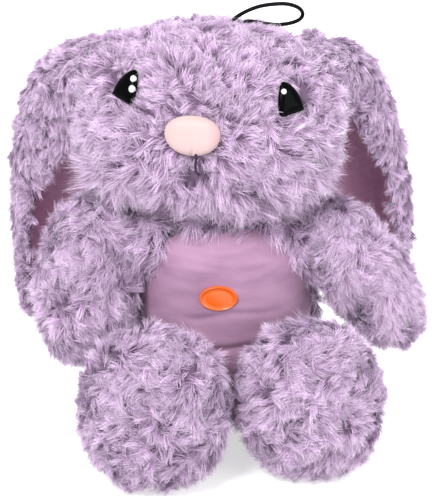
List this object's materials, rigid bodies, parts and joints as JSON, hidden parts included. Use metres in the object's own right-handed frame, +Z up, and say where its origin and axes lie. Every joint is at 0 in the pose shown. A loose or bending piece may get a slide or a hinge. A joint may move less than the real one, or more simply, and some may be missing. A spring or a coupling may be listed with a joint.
{
  "type": "interactive plush rabbit",
  "caption": "Seated lop-eared plush rabbit in long lilac pile with a satin-lined ear on each side, a smooth belly panel and a squeeze badge over a hidden voice box.",
  "frame": {"origin": "middle of the flat seat under the body, on the surface it sits on", "axes": "+Z up, the face looks along -Y, +X to the right of someone facing the toy"},
  "size_m": [0.2797, 0.2232, 0.2967],
  "materials": {
    "lilac_fur": "long swirled pile",
    "belly_velour": "short smooth velour",
    "ear_satin": "satin",
    "nose_satin": "padded satin",
    "mouth_thread": "stitched thread",
    "filling": "polyester fibre",
    "eye_black": "polished",
    "badge_orange": "soft moulded badge",
    "case_plastic": "moulded",
    "speaker_black": "matt",
    "board_green": "coated board",
    "contact_brass": "stamped",
    "bright_steel": "plain",
    "loop_elastic": "braided elastic"
  },
  "bodies": {
    "body": {"body_cover": "lilac_fur", "body_stuffing": "filling", "belly_panel": "belly_velour", "tail_cover": "lilac_fur", "tail_stuffing": "filling", "voice_box_front": "case_plastic", "voice_box_back": "case_plastic", "speaker": "speaker_black", "circuit_board": "board_green", "button_cells": "bright_steel", "battery_contacts": "contact_brass", "battery_door": "case_plastic", "box_screws": "bright_steel", "speaker_wires": "speaker_black", "button_spring": "bright_steel"},
    "squeeze": {"squeeze_badge": "badge_orange", "press_pad": "filling", "squeeze_button": "case_plastic"},
    "head": {"head_cover": "lilac_fur", "head_stuffing": "filling", "left_eye": "eye_black", "right_eye": "eye_black", "eye_washers": "case_plastic", "nose_patch": "nose_satin", "mouth_stitch": "mouth_thread", "hang_loop": "loop_elastic"},
    "left_ear": {"left_ear_outer": "lilac_fur", "left_ear_lining": "ear_satin"},
    "right_ear": {"right_ear_outer": "lilac_fur", "right_ear_lining": "ear_satin"},
    "left_arm": {"left_arm_cover": "lilac_fur", "left_arm_stuffing": "filling"},
    "right_arm": {"right_arm_cover": "lilac_fur", "right_arm_stuffing": "filling"},
    "left_leg": {"left_leg_cover": "lilac_fur", "left_leg_stuffing": "filling"},
    "right_leg": {"right_leg_cover": "lilac_fur", "right_leg_stuffing": "filling"}
  },
  "joints": [
    {"name": "squeeze_press", "type": "slide", "parent": "body", "child": "squeeze", "axis": [0, 1, 0], "range_m": [0, 0.004], "stiffness_N_per_m": 1500, "deforming": ["button_spring"]},
    {"name": "head_nod", "type": "hinge", "parent": "body", "child": "head", "pos_m": [-0.002, 0, 0.16], "axis": [1, 0, 0], "range_deg": [-6, 8], "stiffness_Nm_per_rad": 1.5},
    {"name": "left_ear_lift", "type": "hinge", "parent": "head", "child": "left_ear", "pos_m": [-0.072, 0.006, 0.266], "axis": [0, 1, 0], "range_deg": [0, 90]},
    {"name": "right_ear_lift", "type": "hinge", "parent": "head", "child": "right_ear", "pos_m": [0.056, 0.006, 0.264], "axis": [0, -1, 0], "range_deg": [0, 90]},
    {"name": "left_arm_raise", "type": "hinge", "parent": "body", "child": "left_arm", "pos_m": [-0.0555, -0.014, 0.136], "axis": [0, 1, 0], "range_deg": [0, 18], "stiffness_Nm_per_rad": 0.3},
    {"name": "right_arm_raise", "type": "hinge", "parent": "body", "child": "right_arm", "pos_m": [0.0555, -0.014, 0.136], "axis": [0, -1, 0], "range_deg": [-8, 18], "stiffness_Nm_per_rad": 0.3},
    {"name": "left_leg_lift", "type": "hinge", "parent": "body", "child": "left_leg", "pos_m": [-0.04, -0.036, 0.032], "axis": [-1, 0, 0], "range_deg": [0, 12]},
    {"name": "right_leg_lift", "type": "hinge", "parent": "body", "child": "right_leg", "pos_m": [0.04, -0.036, 0.032], "axis": [-1, 0, 0], "range_deg": [0, 12]}
  ]
}
